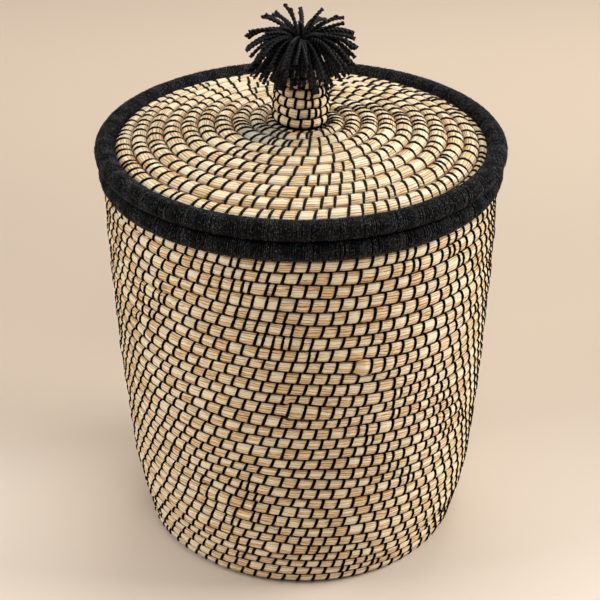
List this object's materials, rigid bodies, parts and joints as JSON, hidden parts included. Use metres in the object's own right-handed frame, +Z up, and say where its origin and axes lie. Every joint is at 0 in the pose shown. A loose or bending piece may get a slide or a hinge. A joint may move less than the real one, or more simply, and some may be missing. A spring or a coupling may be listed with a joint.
{
  "type": "lidded storage basket",
  "caption": "Round coiled-grass storage basket with a lift-off domed lid, black yarn-wrapped rims and a coiled knob with a yarn pompom.",
  "frame": {"origin": "centre of the base, on the floor it stands on", "axes": "+Z up through the knob, front of the pictured view towards -Y"},
  "size_m": [0.42, 0.42, 0.5776],
  "materials": {
    "base_grass": "matte",
    "wall_grass": "matte",
    "lid_grass": "matte",
    "knob_grass": "matte",
    "rim_core_grass": "matte",
    "rim_yarn": "matte",
    "pompom_yarn": "matte"
  },
  "bodies": {
    "basket": {"base_coil": "base_grass", "wall_coil": "wall_grass", "basket_rim_core": "rim_core_grass", "basket_rim_wrap": "rim_yarn"},
    "lid": {"lid_coil": "lid_grass", "knob_coil": "knob_grass", "lid_rim_core": "rim_core_grass", "lid_rim_wrap": "rim_yarn", "lid_locating_ring": "lid_grass", "pompom": "pompom_yarn", "pompom_tie": "pompom_yarn", "pompom_anchor_knot": "pompom_yarn"}
  },
  "joints": [
    {"name": "lid_lift", "type": "slide", "parent": "basket", "child": "lid", "axis": [0, 0, 1], "range_m": [0, 0.25]}
  ]
}
